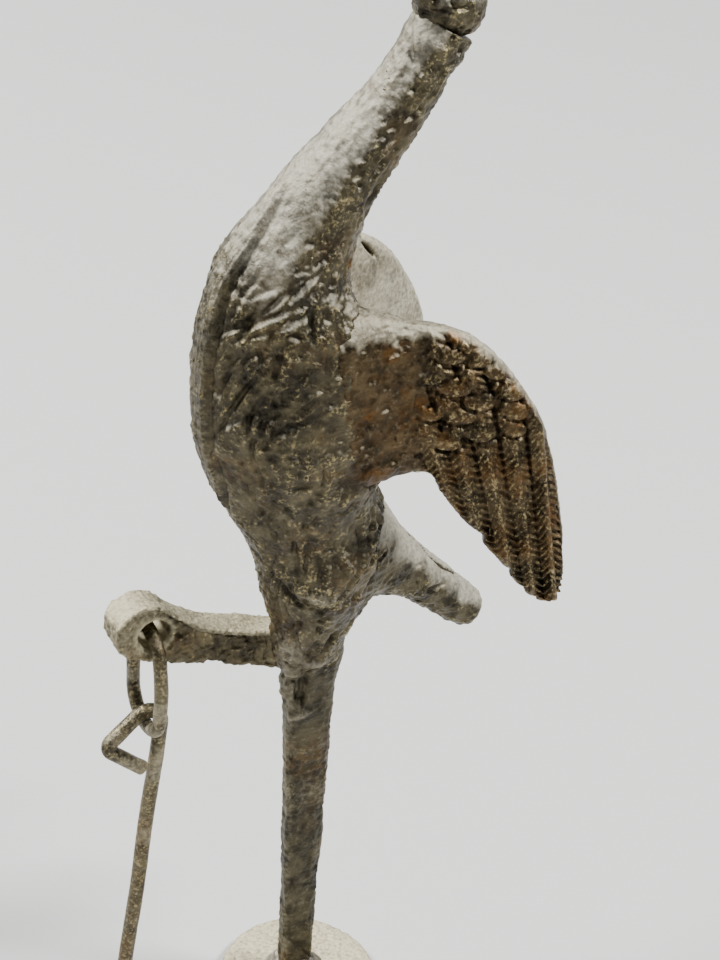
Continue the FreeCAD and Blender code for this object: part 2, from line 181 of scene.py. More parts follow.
def fillet(points, normals, trees, reach):
    """How far the metal swells at each point, in mm, where the piece flows into its neighbours.

    A point settles where it is as far out from its own surface as from the neighbour's.
    """
    swell = np.zeros(points.shape[:-1])
    for place in np.ndindex(swell.shape):
        start, way, out = Vector(points[place]), Vector(normals[place]), 0.0
        for _ in range(4):
            at = start + way * out
            gap = reach
            for tree in trees:
                spot, facing, _, distance = tree.find_nearest(at, reach)
                if spot is not None:
                    inside = (at - spot).dot(facing) < 0
                    gap = min(gap, -distance if inside else distance)
            if gap >= reach:
                break
            target = max(1 - abs(out - gap) / reach, 0) ** 2 * reach / 4
            out += 0.6 * (target - out)
        swell[place] = out
    return swell


def new_object(name, data):
    """A new object in the scene that holds the data."""
    made = bpy.data.objects.new(name, data)
    bpy.context.scene.collection.objects.link(made)
    return made


def finish_mesh(mesh, material, layers):
    """Turn faces outwards, shade them smooth, and store the value layers and the material."""
    shell = bmesh.new()
    shell.from_mesh(mesh)
    bmesh.ops.recalc_face_normals(shell, faces=shell.faces)
    shell.to_mesh(mesh)
    shell.free()
    mesh.polygons.foreach_set("use_smooth", [True] * len(mesh.polygons))
    for name, values in layers.items():
        layer = mesh.attributes.new(name, "FLOAT", "POINT")
        layer.data.foreach_set("value", np.asarray(values, np.float32).ravel())
    mesh.materials.append(material)
    return new_object(mesh.name, mesh)


def skin(name, grid, material, layers):
    """A closed piece over rings of points in mm, with a fan of faces at each end."""
    rings, around = grid.shape[:2]
    count = rings * around
    points = np.vstack([grid.reshape(-1, 3), grid[0].mean(axis=0), grid[-1].mean(axis=0)]) * MM
    index = np.arange(count).reshape(rings, around)
    turned = np.roll(index, -1, axis=1)
    sides = np.stack([index[:-1], turned[:-1], turned[1:], index[1:]], axis=-1).reshape(-1, 4)
    first = np.stack([turned[0], index[0], np.full(around, count)], axis=-1)
    last = np.stack([index[-1], turned[-1], np.full(around, count + 1)], axis=-1)
    mesh = bpy.data.meshes.new(name)
    mesh.from_pydata(points.tolist(), [], [*sides.tolist(), *first.tolist(), *last.tolist()])
    full = {}
    for key, values in layers.items():
        values = np.broadcast_to(values, (rings, around))
        full[key] = np.concatenate([values.ravel(), [values[0].mean(), values[-1].mean()]])
    return finish_mesh(mesh, material, full)


def colour(code):
    """Linear colour, with full cover, from an sRGB hex code."""
    parts = [int(code[place : place + 2], 16) / 255 for place in (1, 3, 5)]
    return (*[c / 12.92 if c < 0.04045 else ((c + 0.055) / 1.055) ** 2.4 for c in parts], 1)


def add(tree, kind, settings=None, links=None):
    """Add a node, set its properties and sockets, and link sockets to other nodes' outputs."""
    node = tree.nodes.new(kind)
    for name, value in (settings or {}).items():
        if isinstance(name, str) and hasattr(node, name):
            setattr(node, name, value)
        else:
            node.inputs[name].default_value = value
    for name, source in (links or {}).items():
        tree.links.new(source, node.inputs[name])
    return node


# Noise in the metal: its name, the size of its features in mm, and its detail.
METAL_NOISES = [
    ("mottle", 2.4, 3.0),
    ("grain", 0.35, 2.0),
    ("stain", 1.1, 3.0),
    ("crust", 0.6, 5.0),
    ("thin", 0.4, 4.0),
    ("pitting", 0.42, 6.0),
]
# Values that are stretched to run from 0 at the first limit to 1 at the second.
METAL_LIMITS = [("mottle", 0.38, 0.64), ("grain", 0.50, 0.68), ("stain", 0.36, 0.60), ("thin", 0.36, 0.56)]
COVER_LIMITS = (0.60, 1.42)
# Sums that turn them into shares of bare metal, patina and pale (dried dirt and painted light), and into
# the shader's values.
METAL_SUMS = [
    ("bare", "MULTIPLY", "grain", "wear"),
    ("bare", "MULTIPLY", "bare", 0.5),
    ("patina", "MULTIPLY", "rust", "stain"),
    ("thin", "MULTIPLY", "thin", 0.38),
    ("thin", "ADD", "thin", 0.6),
    ("dirt_and_light", "MULTIPLY", "cover", "thin"),
    ("hidden", "MULTIPLY", "dirt_and_light", 0.6),
    ("metallic", "SUBTRACT", 0.92, "hidden"),
    ("polish", "MULTIPLY", "bare", 0.14),
    ("clean", "SUBTRACT", 0.44, "polish"),
    ("dull", "MULTIPLY", "dirt_and_light", 0.3),
    ("roughness", "ADD", "clean", "dull"),
]
PIT_STRENGTH, PIT_DEPTH = 0.9, 0.16


def old_bronze(name, dark, warm, dust_and_light, rust, shine):
    """Leaded tin bronze, lost-wax cast and never polished: dull brown metal with a gritty skin.

    The metal is mottled from dark to warm. The layers say where bare metal (shine), orange patina
    (rust) and the pale colour lie on it; the pale colour is dried dirt, and painted light on lit faces.
    """
    material = bpy.data.materials.new(name)
    material.use_nodes = True
    tree = material.node_tree
    tree.nodes.clear()
    place = add(tree, "ShaderNodeTexCoord").outputs["Object"]
    value = {}
    for layer in ("wear", "rust", "dust_and_light"):
        value[layer] = add(tree, "ShaderNodeAttribute", {"attribute_name": layer}).outputs["Fac"]
    for title, size, detail in METAL_NOISES:
        settings = {"Scale": 1 / (size * MM), "Detail": detail, "Roughness": 0.6}
        value[title] = add(tree, "ShaderNodeTexNoise", settings, {"Vector": place}).outputs["Fac"]
    links = {0: value["dust_and_light"], 1: value["crust"]}
    value["cover"] = add(tree, "ShaderNodeMath", {"operation": "ADD"}, links).outputs[0]
    for title, low, high in [*METAL_LIMITS, ("cover", *COVER_LIMITS)]:
        settings = {"From Min": low, "From Max": high, "clamp": True}
        links = {"Value": value[title]}
        value[title] = add(tree, "ShaderNodeMapRange", settings, links).outputs["Result"]
    for title, operation, first, second in METAL_SUMS:
        parts = {0: first, 1: second}
        settings = {socket: part for socket, part in parts.items() if part not in value}
        links = {socket: value[part] for socket, part in parts.items() if part in value}
        value[title] = add(tree, "ShaderNodeMath", {"operation": operation} | settings, links).outputs[0]
    settings = {"data_type": "RGBA", 6: colour(dark), 7: colour(warm)}
    metal = add(tree, "ShaderNodeMix", settings, {"Factor": value["mottle"]}).outputs[2]
    # The pale colour goes on last: dried dirt, and painted light where the pale layer marks lit faces.
    for amount, over in (("bare", shine), ("patina", rust), ("dirt_and_light", dust_and_light)):
        settings = {"data_type": "RGBA", 7: colour(over)}
        metal = add(tree, "ShaderNodeMix", settings, {"Factor": value[amount], 6: metal}).outputs[2]
    settings = {"Strength": PIT_STRENGTH, "Distance": PIT_DEPTH * MM}
    pitted = add(tree, "ShaderNodeBump", settings, {"Height": value["pitting"]})
    links = {"Base Color": metal, "Metallic": value["metallic"], "Roughness": value["roughness"]}
    links["Normal"] = pitted.outputs["Normal"]
    shader = add(tree, "ShaderNodeBsdfPrincipled", {}, links)
    add(tree, "ShaderNodeOutputMaterial", {}, {"Surface": shader.outputs["BSDF"]})
    return material


# Grey-brown metal under thin grey dirt and pale painted light, with small yellowish glints where it is
# bare.
cast_bronze = old_bronze(
    "dull lost-wax cast bronze",
    dark="#37332a",
    warm="#5a5340",
    dust_and_light="#a9a493",
    rust="#684a23",
    shine="#d8c68e",
)


def dirt_and_top_light(points, rising):
    """Share of pale at each point, from how far the surface faces up: dried dirt, and painted light from
    above.
    """
    return 0.66 * ramp(0.35, 0.95, rising + 0.25 * cloud(points, 2.6, 41) + 0.2 * cloud(points, 0.8, 42))


def orange_patches(points):
    """Share of orange patina at each point: strongest where the wings leave the body."""
    root = np.array([1.5, 7.0, 80.0])
    away = np.linalg.norm((np.abs(points * [0, 1, 0]) + points * [1, 0, 1] - root) / [6, 6, 7], axis=-1)
    spots = ramp(0.25, 0.6, cloud(points, 1.8, 52))
    elsewhere = 0.2 * ramp(0.0, 0.6, cloud(points, 4.5, 51))
    return np.clip(0.6 * hump(away, 0, 1) * (0.3 + spots) + elsewhere, 0, 1)


rows = smooth_rows(BODY_SECTIONS, 400)
turn = full_turn(230)
lean = np.radians(rows[:, 4])
fore = np.stack([np.cos(lean), np.zeros_like(lean), -np.sin(lean)], axis=1)[:, None]
centre = np.stack([rows[:, 0], np.zeros(len(rows)), rows[:, 1]], axis=1)[:, None]
deep = (rows[:, 2, None] * np.cos(turn))[..., None]
wide = (rows[:, 3, None] * np.sin(turn))[..., None]
body = centre + deep * fore + wide * np.array([0, 1, 0])
body_normal = outward(body)

level = rows[:, 1, None] + 0 * turn
degrees = np.degrees(turn) + 0 * level
girth = np.sqrt(rows[:, 2] * rows[:, 3])[:, None]
beside_breast = np.radians(degrees - 180) * girth

# Raised band down the breast, from the throat to its pointed end, with fine lengthwise lines.
band_half = BAND_HALF * ramp(105, 95, level) * ramp(70.4, 75.5, level)
band_gap = np.abs(beside_breast) - band_half
band = BAND_HEIGHT * ramp(0.35, -0.35, band_gap) * ramp(104, 99, level) * ramp(70.2, 71.0, level)
groove_depth = 0.26 + 0.2 * hump(level, 91, 4) + 0.14 * hump(level, 73, 3)
band_groove = -groove_depth * hump(band_gap, 0.48, 0.28) * ramp(101, 96, level) * ramp(70.0, 71.5, level)
band_lines = 0.06 * np.sin(beside_breast * 2 * math.pi / BAND_LINE_PITCH) * (band > 0.2)

# Smooth wiped metal on the front of the neck, rough casting skin elsewhere.
wiped = ramp(256, 236, degrees + 9 * cloud(body, 3.0, 5)) * ramp(96, 180, degrees)
wiped = wiped * ramp(89, 100, level + 3 * cloud(body, 2.0, 6))
wiped = np.maximum(wiped, np.clip(band / BAND_HEIGHT, 0, 1) * 0.5)
rough = 1 - 0.72 * wiped
brushed = 0.09 * cloud(body * np.array([1, 1, 0.22]), 0.5, 63) * wiped

# Marks cut in the wax, each with its height, angle round the body, length, width, depth and slope:
# long slanting gouges below the neck, then short nicks all over.
random = np.random.default_rng(11)
marks = []
for gouges, first_angle, last_angle, slope in ((34, 203, 262, 40), (26, 98, 157, -40)):
    for _ in range(gouges):
        height, where = random.uniform(82, 96), random.uniform(first_angle, last_angle)
        marks.append((height, where, random.uniform(1.2, 3.0), 0.27, 0.36, slope))
for _ in range(360):
    where = random.uniform(200, 520) % 360
    marks.append((random.uniform(50, 95), where, random.uniform(0.6, 1.8), 0.24, 0.3, 15))
for _ in range(36):
    where = random.uniform(255, 420) % 360
    marks.append((random.uniform(96, 114), where, random.uniform(0.7, 1.6), 0.28, 0.22, 10))
# Pits on the neck and the breast, then the lens, the thin ridge and the fold over the hip.
marks += [
    (113.9, 212, 1.5, 0.26, 0.9, -20),
    (108.2, 186, 0.4, 0.35, 0.5, 0),
    (113.9, 176, 0.4, 0.35, 0.5, 0),
    (80.2, 172, 0.7, 0.5, 1.1, 0),
    (78.6, 190, 0.5, 0.3, 0.6, 0),
    (60.2, 252, 2.6, 0.75, -0.7, 108),
    (58.4, 263, 3.2, 0.2, -0.4, 100),
    (60.5, 221, 2.6, 0.3, 0.5, -25),
]
cuts = np.zeros_like(level)
for height, where, length, width, depth, slope in marks:
    tilt = math.radians(slope + random.uniform(-24, 24))
    up = level - height
    side = np.radians((degrees - where + 180) % 360 - 180) * girth
    lengthwise = up * math.cos(tilt) + side * math.sin(tilt)
    across = side * math.cos(tilt) - up * math.sin(tilt)
    shape = np.exp(-((lengthwise / length) ** 2))
    cuts += depth * shape * (0.45 * hump(across, 1.7 * width, width) - hump(across, 0, width))

# Thigh bulge on each side above the leg, and the thick lip of the leg socket.
thigh_side = np.maximum(hump(degrees, 262, 38), hump(degrees, 98, 38))
thigh = 0.85 * thigh_side * ramp(66.5 - np.abs(degrees - 180) * 0.02, 62.5, level) * ramp(51, 60, level)
lip = LIP_HEIGHT * hump(level, 48.3, 0.4) * hump(degrees, 265, 28) + 0.06 * hump(level, 48.2, 0.5)
lumps = 0.4 * cloud(body, 1.0, 61) * hump(degrees, 208, 34) * hump(level, 50, 2.6)
# Rim where the neck meets the head, with a filed hollow below it on one side.
below_end = np.linspace(0, 1, len(rows))[:, None] * 78
near_side = np.maximum(hump(degrees, 268, 48), hump(degrees, 92, 48))
rim = (0.28 * hump(below_end, 2.0, 0.6) - 0.5 * hump(below_end, 3.7, 1.0)) * near_side
rim += 0.45 * hump(level, 109, 6) * hump(degrees, 335, 55)

smooth_body = FORM_HEIGHT * cloud(body, FORM_SIZE, FORM_SEED) * (1 - 0.6 * wiped)
neighbours = [node_tree(name) for name in ("left_wing", "right_wing", "tail")]
swell = fillet(body, body_normal, neighbours, FILLET_REACH)
swell += fillet(body, body_normal, [node_tree("raised_leg")], HIP_FILLET_REACH)
body_tree = grid_tree(body[::2, ::2], body_normal[::2, ::2])
relief = rough * (cast_skin(body, SKIN_SEED) + np.clip(cuts, -1.0, 0.5))
relief += band + band_groove + band_lines + brushed + lumps
body_shape = body + body_normal * (relief + thigh + lip + rim + smooth_body + swell)[..., None]

up_facing = outward(body_shape)[..., 2]
# Pale on upward faces is dried dirt and painted light from above; on the wiped front of the neck it is
# painted light.
pale = dirt_and_top_light(body, up_facing) + 0.62 * wiped * ramp(-0.5, 0.6, up_facing + 0.2)
pale += 0.6 * np.maximum(hump(degrees, 208, 30) * hump(level, 50, 2.2), lip / LIP_HEIGHT)
# A painted highlight on the lens over the hip.
pale += 0.4 * hump(degrees, 254, 22) * hump(level, 60.2, 1.0)
pale = np.clip(pale, 0, 1) * (0.85 + 0.15 * cloud(body, 1.6, 43))
raised = ramp(-0.05, 0.22, relief - band)
orange = np.maximum(orange_patches(body), hump(degrees, 322, 9) * hump(level, 98, 1.1))
layers = {"dust_and_light": pale, "wear": raised, "rust": orange}
cast_body = skin("cast_body", body_shape, cast_bronze, layers)
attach(cast_body, "bird")
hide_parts("body_casting")

# ---------------------------------------------------------------- wings
# The two wings are leaf-shaped plates cast in the same bronze and soldered into the sides.
# The outer faces carry small rounded coverts at the bend and long flight feathers below,
# with a shaft and slanting barbs on each; the inner faces are smooth.

WING_OFFSET = 6.0
WING_SWEEP = math.radians(17)
RIGHT_LIFT, RIGHT_REACH = 1.4, 0.9
# Stations from root to tip: leading edge (out, height), trailing edge (out, height), thickness.
WING_STATIONS = [
    (-4.5, 90.0, -4.5, 74.8, 1.25),
    (2.0, 91.3, 2.0, 74.7, 1.5),
    (7.8, 90.2, 6.9, 74.2, 1.6),
    (11.5, 88.0, 8.6, 71.4, 1.6),
    (14.2, 85.1, 11.0, 68.0, 1.5),
    (16.4, 82.0, 13.7, 64.5, 1.45),
    (18.3, 78.3, 15.9, 61.3, 1.35),
    (19.9, 72.9, 17.7, 58.9, 1.2),
    (21.1, 67.0, 19.1, 57.6, 1.1),
    (21.8, 61.6, 20.1, 57.0, 0.95),
    (21.7, 58.6, 20.8, 56.9, 0.75),
]
# Flight feathers from the leading edge inwards: where the shaft starts and ends.
FEATHERS = [
    ((17.3, 80.5), (21.2, 57.0)),
    ((14.6, 79.8), (19.3, 57.0)),
    ((12.0, 79.0), (16.9, 59.5)),
    ((9.5, 78.3), (13.7, 63.5)),
    ((7.2, 77.4), (10.6, 68.0)),
]
FEATHER_HALF = 1.45
BARB_PITCH = 0.95
# Coverts, roughly from the lowest up: middle (out, height), half length and half width of each lobe.
COVERTS = [
    (15.1, 78.9, 1.2, 0.75),
    (11.6, 79.0, 1.7, 1.0),
    (8.4, 78.2, 1.5, 0.9),
    (15.2, 80.9, 1.3, 0.85),
    (9.3, 81.3, 1.9, 1.05),
    (14.7, 83.1, 1.4, 0.9),
    (11.3, 82.6, 1.7, 1.0),
    (6.6, 81.6, 1.3, 0.8),
    (8.7, 84.4, 1.8, 1.0),
    (12.9, 85.6, 1.5, 0.9),
    (6.4, 85.6, 1.2, 0.75),
    (10.9, 87.2, 1.5, 0.95),
    (8.1, 87.8, 1.6, 0.85),
]
COVERT_LEAN = math.radians(78)
EDGE_STEPS = 6


def feathering(out, height):
    """Relief of a wing's outer face in mm: coverts overlapping like tiles, then flight feathers."""
    nearest = np.full(out.shape, 9.0)
    vane = np.zeros(out.shape)
    for (start_out, start_height), (end_out, end_height) in FEATHERS:
        run, drop = end_out - start_out, end_height - start_height
        length = math.hypot(run, drop)
        forward = ((out - start_out) * run + (height - start_height) * drop) / length
        side = ((out - start_out) * drop - (height - start_height) * run) / length
        edge = np.abs(side) / FEATHER_HALF
        waver = 0.35 * cloud(np.stack([out, height, 0 * out], axis=-1), 2.2, 62)
        strength = 0.20 + 0.12 * cloud(np.stack([out, height, 0 * out], axis=-1), 3.0, 63)
        barbs = np.cos((forward + waver - np.abs(side)) * 2 * math.pi / BARB_PITCH)
        barbs = barbs * strength * ramp(0.1, 0.3, edge)
        bow = 0.25 * (1 - np.clip(edge, 0, 1) ** 2) - 0.5 * ramp(0.72, 1.0, edge)
        tile = 0.12 * side / FEATHER_HALF
        feather = bow + barbs + tile + 0.28 * hump(side, 0, 0.2)
        vane = np.where(edge < nearest, feather, vane)
        nearest = np.minimum(nearest, edge)
    relief = vane * ramp(4.5, 7.5, out)
    for middle_out, middle_height, half_length, half_width in COVERTS:
        right, down = out - middle_out, middle_height - height
        along = down * math.cos(COVERT_LEAN) + right * math.sin(COVERT_LEAN)
        across = right * math.cos(COVERT_LEAN) - down * math.sin(COVERT_LEAN)
        reach = np.hypot(along / half_length, across / half_width)
        crown = np.sqrt(np.clip(1 - reach**2, 0, 1))
        low_side = ramp(-0.3, 0.5, down / half_width)
        tile = 0.02 + 0.14 * np.clip(down / half_width, -0.9, 1) + 0.3 * crown
        under = -0.42 * hump(reach, 1.16, 0.17) * low_side
        relief = np.where(reach < 1, tile, relief + under)
    return relief * ramp(3.6, 6.5, out)


# The same metal, browner and a little darker, since patina has settled in the feather marks.
wing_bronze = old_bronze(
    "brown patinated cast bronze",
    dark="#30291d",
    warm="#5a4c36",
    dust_and_light="#b9b29b",
    rust="#6c4922",
    shine="#d0bd8a",
)


def wing(name, node, hand, lift, reach):
    """One wing, on the side that hand gives: -1 for the left and 1 for the right."""
    rows = smooth_rows(WING_STATIONS, 340)
    around = full_turn(260)
    cosine, sine = np.cos(around), np.sin(around)
    chord = 0.5 - 0.5 * np.sign(cosine) * np.abs(cosine) ** 0.9
    offset = np.sign(sine) * np.abs(sine) ** 0.55 * rows[:, 4, None]
    spare = np.linspace(0, 1, len(rows))
    # Each flight feather ends in a rounded step on the trailing edge.
    step = (spare * EDGE_STEPS * 1.35) % 1
    notch = 0.05 * (step**3) * ramp(0.34, 0.42, spare) * ramp(1.0, 0.93, spare)
    trailing = rows[:, 2:4] + (rows[:, 0:2] - rows[:, 2:4]) * notch[:, None]
    out = rows[:, 0, None] + (trailing[:, 0] - rows[:, 0])[:, None] * chord
    height = rows[:, 1, None] + (trailing[:, 1] - rows[:, 1])[:, None] * chord
    # The tip closes to a rounded point.
    closing = np.sqrt(np.clip(1 - ramp(0.975, 1.0, spare) ** 2, 0, 1))[:, None]
    offset = offset * (0.25 + 0.75 * closing)
    face = np.array([-math.sin(WING_SWEEP), hand * math.cos(WING_SWEEP), 0])
    flat = np.stack(
        [
            reach * out * math.cos(WING_SWEEP),
            hand * (WING_OFFSET + reach * out * math.sin(WING_SWEEP)),
            height + lift,
        ],
        axis=-1,
    )
    plate = flat + offset[..., None] * face
    normal = outward(plate)
    outer = ramp(0.25, 0.75, normal @ face)
    inner = ramp(0.25, 0.75, -(normal @ face))
    width = np.hypot(*(rows[:, 0:2] - rows[:, 2:4]).T)[:, None]
    rim = ramp(0.1, 0.85, np.minimum(chord, 1 - chord) * width)
    marks = feathering(out, height) * outer * rim
    skin_height = cast_skin(plate, SKIN_SEED) * (1 - 0.7 * inner - 0.68 * outer * ramp(5, 8, out))
    skin_height = skin_height * (0.45 + 0.55 * rim)
    crack = -0.9 * hump(out + 0.8 * (height - 88.8), 8.4, 0.32) * hump(height, 88.8, 1.0) * inner
    swell = fillet(plate, normal, [body_tree], FILLET_REACH)
    soft = FORM_HEIGHT * cloud(plate, FORM_SIZE, FORM_SEED) * ramp(10, 3, out)
    relief = marks + skin_height + crack
    shape = plate + normal * (relief + soft + swell)[..., None]
    up = outward(shape)[..., 2]
    edge = ramp(0.06, 0.0, chord) * ramp(5, 12, out)
    # Dried dirt and painted light from above on the upper faces, less of it on the feathered outer face.
    pale = dirt_and_top_light(plate, up) * (1 - 0.7 * outer * ramp(4, 8, out))
    # Painted light on the smooth inner face and along the leading edge.
    pale = pale + (0.72 + 0.25 * cloud(plate, 1.7, 92)) * inner + 0.5 * edge
    # Painted light along the top of the outer face near the root.
    pale += 0.6 * outer * ramp(89.2, 90.2, height + 0.5 * cloud(plate, 1.0, 93)) * ramp(10, 6, out)
    # None is laid in the crack, so it stays darker than the painted inner face.
    pale = np.clip(pale, 0, 1) * (crack > -0.3)
    orange = orange_patches(plate) + 0.38 * ramp(5, 9, out) * ramp(-0.2, 0.6, cloud(plate, 2.4, 91))
    for spot_out, spot_height in ((2.5, 88.6), (8.4, 89.8)):
        orange += hump(np.hypot(out - spot_out, height - spot_height), 0, 0.9)
    orange = np.clip(orange * (1 - inner), 0, 1)
    layers = {"dust_and_light": pale, "wear": ramp(0.0, 0.4, relief), "rust": orange}
    piece = skin(name, shape, wing_bronze, layers)
    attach(piece, "bird")
    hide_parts(node)
    return piece


wing("feathered_left_wing", "left_wing", -1, 0, 1)
wing("feathered_right_wing", "right_wing", 1, RIGHT_LIFT, RIGHT_REACH)

# ---------------------------------------------------------------- tail
# The tail is a plain tapering stub, cast round and soldered into the back of the body.
# Its upper side is rubbed smooth and painted pale, as dried dirt and light from above, with one thin cold
# crease along it.

TAIL_ROOT = np.array([2.3, 0, 63.2])
TAIL_SLOPE = math.radians(134)
TAIL_LENGTH = 22.6
TAIL_ROOT_RADIUS, TAIL_END_RADIUS = 3.8, 2.0
TAIL_ROUNDING = 1.3

axis = np.array([math.sin(TAIL_SLOPE), 0, math.cos(TAIL_SLOPE)])
above = np.array([-math.cos(TAIL_SLOPE), 0, math.sin(TAIL_SLOPE)])
rounding = TAIL_LENGTH - TAIL_ROUNDING * np.cos(np.linspace(0.05, 1.5, 24))
run = np.concatenate([np.linspace(0, TAIL_LENGTH - TAIL_ROUNDING, 200), rounding])
radius = TAIL_ROOT_RADIUS + (TAIL_END_RADIUS - TAIL_ROOT_RADIUS) * run / TAIL_LENGTH
tip = np.clip((run - (TAIL_LENGTH - TAIL_ROUNDING)) / TAIL_ROUNDING, 0, 1)
radius = radius * np.sqrt(np.clip(1 - tip**2.4, 0.0, 1))
around = full_turn(150)
ring = np.cos(around)[:, None] * above + np.sin(around)[:, None] * np.array([0, 1, 0])
stub = TAIL_ROOT + run[:, None, None] * axis + radius[:, None, None] * ring
stub_normal = outward(stub)
facing = np.cos(around) + 0 * run[:, None]
crease = -0.45 * hump(np.sin(around) * radius[:, None] + 0.5 * np.sin(run[:, None] * 0.6), -0.8, 0.16)
crease = crease * ramp(5, 7, run)[:, None] * ramp(18, 15, run)[:, None] * (facing > 0)
relief = cast_skin(stub, SKIN_SEED) * (1 - 0.55 * ramp(0, 0.6, facing)) + crease
swell = fillet(stub, stub_normal, [body_tree], FILLET_REACH)
before_end = ramp(TAIL_LENGTH, TAIL_LENGTH - 1, run)[:, None]
raise_by = relief * before_end + 0.15 * cloud(stub, 4, 111) + swell
stub_shape = stub + stub_normal * raise_by[..., None]
# Pale on the upper side is dried dirt and painted light from above; none is laid in the crease.
pale = ramp(0.15, 0.75, facing + 0.3 * cloud(stub, 1.6, 121)) * (crease > -0.12)
layers = {"dust_and_light": pale, "wear": ramp(0.0, 0.25, relief), "rust": orange_patches(stub)}
tail_stub = skin("tail_stub", stub_shape, cast_bronze, layers)
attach(tail_stub, "bird")
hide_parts("tail")

# ---------------------------------------------------------------- head
# The head is a separate bronze casting with a tenon that is soldered into the neck; a dark
# seam shows between the two. It has a slim closed beak, small round eyes and rough cheeks.

HEAD = np.array([10.1, 0, 119.0])
BEAK_TILT = math.radians(-52)
# Turned outline of the skull and the beak: radius and distance along the beak's axis.
HEAD_OUTLINE = [
    (0.25, -3.38),
    (1.5, -3.02),
    (2.55, -2.05),
    (3.05, -0.7),
    (3.05, 0.6),
    (2.55, 1.9),
    (1.75, 3.1),
    (1.45, 4.6),
    (1.15, 8.0),
    (0.75, 12.2),
    (0.42, 14.9),
    (0.2, 15.4),
]
EYE_PLACE = (1.35, 0.95)
EYE_RADIUS = 0.62

outline = smooth_rows(HEAD_OUTLINE, 260)
around = full_turn(180)
beak_way = np.array([math.sin(BEAK_TILT), 0, math.cos(BEAK_TILT)])
crown_way = np.array([math.cos(BEAK_TILT), 0, -math.sin(BEAK_TILT)])
ring = np.cos(around)[:, None] * crown_way + np.sin(around)[:, None] * np.array([0, 1, 0])
head = HEAD + outline[:, 1, None, None] * beak_way + outline[:, 0, None, None] * ring
head_normal = outward(head)
reach = outline[:, 1, None] + 0 * around
crown = outline[:, 0, None] * np.cos(around)
lateral = np.abs(np.sin(around)) + 0 * reach
from_eye = np.hypot(reach - EYE_PLACE[0], crown - EYE_PLACE[1])
on_side = ramp(0.4, 0.7, lateral)
eye = 0.34 * np.sqrt(np.clip(1 - (from_eye / EYE_RADIUS) ** 2, 0, 1)) - 0.2 * hump(from_eye, 0.86, 0.2)
mouth = -0.22 * hump(crown, -0.12, 0.14) * ramp(2.2, 3.4, reach) * ramp(15.2, 14.6, reach)
nostril = -0.16 * hump(reach, 4.6, 0.5) * hump(crown, 0.55, 0.14)
relief = cast_skin(head, 141) * ramp(6.0, 1.5, reach) * (1 - 0.8 * hump(from_eye, 0, 0.8) * on_side)
raise_by = relief + (eye + nostril) * on_side + mouth * ramp(0.2, 0.5, lateral)
head_shape = head + head_normal * raise_by[..., None]
# Pale on the upper faces of the head is dried dirt and painted light from above.
pale = ramp(0.1, 0.8, head_normal[..., 2] + 0.3 * cloud(head, 2.5, 151))
layers = {"dust_and_light": pale, "wear": ramp(0.0, 0.2, relief), "rust": 0.3 * ramp(0.2, 0.8, cloud(head, 3, 161))}
cast_head = skin("cast_head", head_shape, cast_bronze, layers)
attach(cast_head, "bird")
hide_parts("head")

# ---------------------------------------------------------------- standing leg
# The leg is a flat bronze bar, filed by hand, let into the body above and riveted through the
# foot below. Its edges are worn round, and the side under the raised leg is hollowed.

LEG_OFFSET = -0.4
LEG_TOP = 49.5
LEG_HALF_THICKNESS = 1.1
LEG_HALF_WIDTH_FOOT, LEG_HALF_WIDTH_HIP = 1.75, 2.85

# Filed metal is evener than the casting and takes less dirt, so the leg looks plain and dark.
leg_bronze = old_bronze(
    "filed and handled bronze bar",
    dark="#2d2a22",
    warm="#544e3d",
    dust_and_light="#aaa28b",
    rust="#5a4427",
    shine="#c2b58c",
)

height = np.linspace(0.3, LEG_TOP, 330)[:, None]
around = full_turn(120)
half_width = LEG_HALF_WIDTH_FOOT + (LEG_HALF_WIDTH_HIP - LEG_HALF_WIDTH_FOOT) * height / 47.5
squared_x = np.sign(np.cos(around)) * np.abs(np.cos(around)) ** 0.5
squared_y = np.sign(np.sin(around)) * np.abs(np.sin(around)) ** 0.6
bar = np.stack(
    [
        LEG_OFFSET + half_width * squared_x,
        LEG_HALF_THICKNESS * squared_y + 0 * height,
        height + 0 * around,
    ],
    axis=-1,
)
bar_normal = outward(bar)
front_side = ramp(0.3, 0.8, -bar_normal[..., 0] - 0.25 * bar_normal[..., 1])
near_side = ramp(0.2, 0.6, -bar_normal[..., 1])
# An irregular recess under the hip, with a lip below it.
hollow_place = np.hypot((bar[..., 0] + 1.9) / 1.0, (height - 44.8) / 3.2) + 0.35 * cloud(bar, 1.1, 173)
hollow = -0.85 * ramp(1.0, 0.55, hollow_place) * near_side
hollow += 0.45 * hump(height, 41.0, 0.55) * hump(bar[..., 0], -2.0, 1.0) * near_side
hollow += 0.5 * cloud(bar, 0.9, 174) * front_side * ramp(39, 43, height)
flare = 0.5 * ramp(41.5, 48.0, height)
scratch_way = (bar[..., 0] + 0.4) * 0.8 + (height - 6.3) * 0.6
scratch = -0.25 * hump(scratch_way, 0, 0.14) * near_side
streaks = np.array([1, 1, 0.3])
relief = 0.5 * cast_skin(bar, 171) + 0.35 * cast_skin(bar * streaks, 172) + scratch
form = 0.22 * cloud(bar, 5.5, 181) + 0.1 * cloud(bar * np.array([1, 1, 0.35]), 1.4, 183) + hollow + flare
bar_shape = bar + bar_normal * (relief + form)[..., None]
# The front face gets a little painted light; dried dirt lies in streaks, and the raised lip and lumps
# round the recess are pale.
pale = 0.15 * front_side + 0.14 * ramp(0.0, 0.6, cloud(bar * streaks, 2.2, 191))
pale = np.clip(pale + 0.9 * np.clip(hollow, 0, 0.5), 0, 1)
orange = 0.5 * ramp(0.2, 0.8, cloud(bar, 5, 201))
layers = {"dust_and_light": pale, "wear": ramp(0.0, 0.2, relief), "rust": orange}
leg_bar = skin("leg_bar", bar_shape, leg_bronze, layers)
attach(leg_bar, "bird")
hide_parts("standing_leg")

